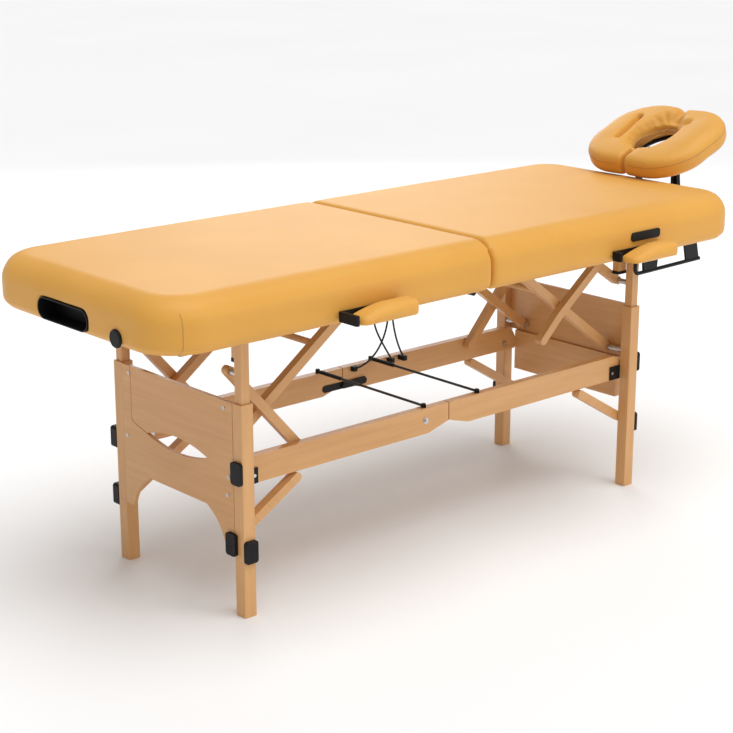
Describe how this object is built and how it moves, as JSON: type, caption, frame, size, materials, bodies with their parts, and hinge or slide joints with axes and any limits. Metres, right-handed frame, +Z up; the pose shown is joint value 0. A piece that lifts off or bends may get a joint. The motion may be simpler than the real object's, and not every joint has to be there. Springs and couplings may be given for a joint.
{
  "type": "portable massage table",
  "caption": "Folding massage table with a padded vinyl top, wooden leg frames and side rails, armrests and a tilting face cradle",
  "frame": {"origin": "on the floor below the middle of the object's bounding box", "axes": "+X along the table to the head end, +Y away from the armrest side, +Z up"},
  "size_m": [2.0902, 0.769, 0.9491],
  "materials": {
    "vinyl": "soft semi-gloss upholstery vinyl",
    "beech": "clear satin lacquer",
    "plywood": "satin",
    "black_plastic": "fine satin",
    "black_metal": "satin powder coat",
    "steel": "zinc plated",
    "cord": "braided",
    "orange_clip": "gloss"
  },
  "bodies": {
    "foot_frame": {"foot_leg_near": "beech", "foot_leg_far": "beech", "foot_end_board": "beech", "foot_board_screws": "steel", "foot_leg_fittings": "black_plastic", "foot_braces": "beech", "foot_pivot_bolts": "steel"},
    "foot_half": {"foot_pad": "vinyl", "foot_deck": "plywood", "foot_carry_recess_liner": "black_plastic", "foot_end_plug": "black_plastic", "foot_under_top_brackets": "black_metal", "foot_stop_blocks": "beech", "foot_centre_hinge_leaves": "black_metal"},
    "head_half": {"head_pad": "vinyl", "head_deck": "plywood", "cradle_sockets": "black_plastic", "head_under_top_brackets": "black_metal", "head_stop_blocks": "beech", "head_centre_hinge_leaves": "black_metal", "hanging_frame": "black_metal", "side_handle_plate": "black_plastic", "cord_hanger": "black_metal"},
    "head_frame": {"head_leg_near": "beech", "head_leg_far": "beech", "head_end_boards": "beech", "head_leg_fittings": "black_plastic", "head_braces": "beech", "head_pivot_bolts": "steel"},
    "foot_rail_pair": {"foot_rail_near": "beech", "foot_rail_far": "beech", "foot_rail_leaves": "black_metal", "foot_cross_tie": "cord", "foot_tie_ends": "black_plastic", "rail_bolt": "steel"},
    "head_rail_pair": {"head_rail_near": "beech", "head_rail_far": "beech", "head_rail_leaves": "black_metal", "head_cross_tie": "cord", "head_tie_ends": "black_plastic"},
    "foot_prop_pair": {"foot_props": "beech"},
    "head_prop_pair": {"head_props": "beech"},
    "centre_cords": {"hanging_cords": "cord", "cord_toggle_and_ends": "black_plastic", "cord_clip": "orange_clip"},
    "foot_lower_near": {"foot_lower_leg_near": "beech"},
    "foot_lower_far": {"foot_lower_leg_far": "beech"},
    "head_lower_near": {"head_lower_leg_near": "beech"},
    "head_lower_far": {"head_lower_leg_far": "beech"},
    "foot_armrest": {"foot_armrest_pad": "vinyl", "foot_armrest_bracket": "black_plastic", "foot_armrest_rods": "steel"},
    "head_armrest": {"head_armrest_pad": "vinyl", "head_armrest_bracket": "black_plastic", "head_armrest_rods": "steel"},
    "cradle_carriage": {"cradle_rods": "steel", "cradle_uprights": "black_metal"},
    "cradle_head": {"cradle_platform": "black_plastic", "cradle_cushion": "vinyl"},
    "cradle_lock": {"cradle_lever": "black_plastic"}
  },
  "joints": [
    {"name": "table_fold", "type": "hinge", "parent": "foot_frame", "child": "foot_half", "pos_m": [-0.7541, 0.035, 0.645], "axis": [0, -1, 0], "range_deg": [0, 70]},
    {"name": "centre_hinge", "type": "hinge", "parent": "foot_half", "child": "head_half", "pos_m": [-0.1091, 0.035, 0.645], "axis": [0, 1, 0], "range_deg": [0, 140]},
    {"name": "head_leg_hinge", "type": "hinge", "parent": "head_half", "child": "head_frame", "pos_m": [0.5359, 0.035, 0.645], "axis": [0, -1, 0], "range_deg": [0, 70]},
    {"name": "foot_rail_pivot", "type": "hinge", "parent": "foot_frame", "child": "foot_rail_pair", "pos_m": [-0.7091, 0.035, 0.314], "axis": [0, -1, 0], "range_deg": [0, 73]},
    {"name": "head_rail_pivot", "type": "hinge", "parent": "head_frame", "child": "head_rail_pair", "pos_m": [0.4909, 0.035, 0.314], "axis": [0, 1, 0], "range_deg": [0, 73]},
    {"name": "foot_prop_pivot", "type": "hinge", "parent": "foot_frame", "child": "foot_prop_pair", "pos_m": [-0.7461, 0.035, 0.372], "axis": [0, -1, 0], "range_deg": [0, 42]},
    {"name": "head_prop_pivot", "type": "hinge", "parent": "head_frame", "child": "head_prop_pair", "pos_m": [0.5279, 0.035, 0.372], "axis": [0, 1, 0], "range_deg": [0, 42]},
    {"name": "cord_hang", "type": "hinge", "parent": "head_half", "child": "centre_cords", "pos_m": [0.0189, 0.207, 0.646], "axis": [0, -1, 0], "range_deg": [0, 70]},
    {"name": "foot_near_leg_height", "type": "slide", "parent": "foot_frame", "child": "foot_lower_near", "axis": [0, 0, -1], "range_m": [0, 0.12]},
    {"name": "foot_far_leg_height", "type": "slide", "parent": "foot_frame", "child": "foot_lower_far", "axis": [0, 0, -1], "range_m": [0, 0.12]},
    {"name": "head_near_leg_height", "type": "slide", "parent": "head_frame", "child": "head_lower_near", "axis": [0, 0, -1], "range_m": [0, 0.12]},
    {"name": "head_far_leg_height", "type": "slide", "parent": "head_frame", "child": "head_lower_far", "axis": [0, 0, -1], "range_m": [0, 0.12]},
    {"name": "foot_armrest_pull", "type": "slide", "parent": "foot_half", "child": "foot_armrest", "axis": [0, -1, 0], "range_m": [0, 0.08]},
    {"name": "head_armrest_pull", "type": "slide", "parent": "head_half", "child": "head_armrest", "axis": [0, -1, 0], "range_m": [0, 0.08]},
    {"name": "cradle_pull", "type": "slide", "parent": "head_half", "child": "cradle_carriage", "axis": [1, 0, 0], "range_m": [0, 0.09]},
    {"name": "cradle_tilt", "type": "hinge", "parent": "cradle_carriage", "child": "cradle_head", "pos_m": [0.8969, 0.035, 0.792], "axis": [0, 1, 0], "range_deg": [0, 30]},
    {"name": "cradle_lock_turn", "type": "hinge", "parent": "cradle_carriage", "child": "cradle_lock", "pos_m": [0.8969, 0.035, 0.792], "axis": [0, -1, 0], "range_deg": [0, 80]}
  ],
  "couplings": [
    {"joint": "centre_hinge", "follows": "table_fold", "ratio": 2},
    {"joint": "head_leg_hinge", "follows": "table_fold", "ratio": 1},
    {"joint": "foot_rail_pivot", "follows": "table_fold", "ratio": 1.0426},
    {"joint": "head_rail_pivot", "follows": "table_fold", "ratio": 1.0426},
    {"joint": "foot_prop_pivot", "follows": "table_fold", "ratio": 0.6},
    {"joint": "head_prop_pivot", "follows": "table_fold", "ratio": 0.6},
    {"joint": "cord_hang", "follows": "table_fold", "ratio": 1}
  ]
}
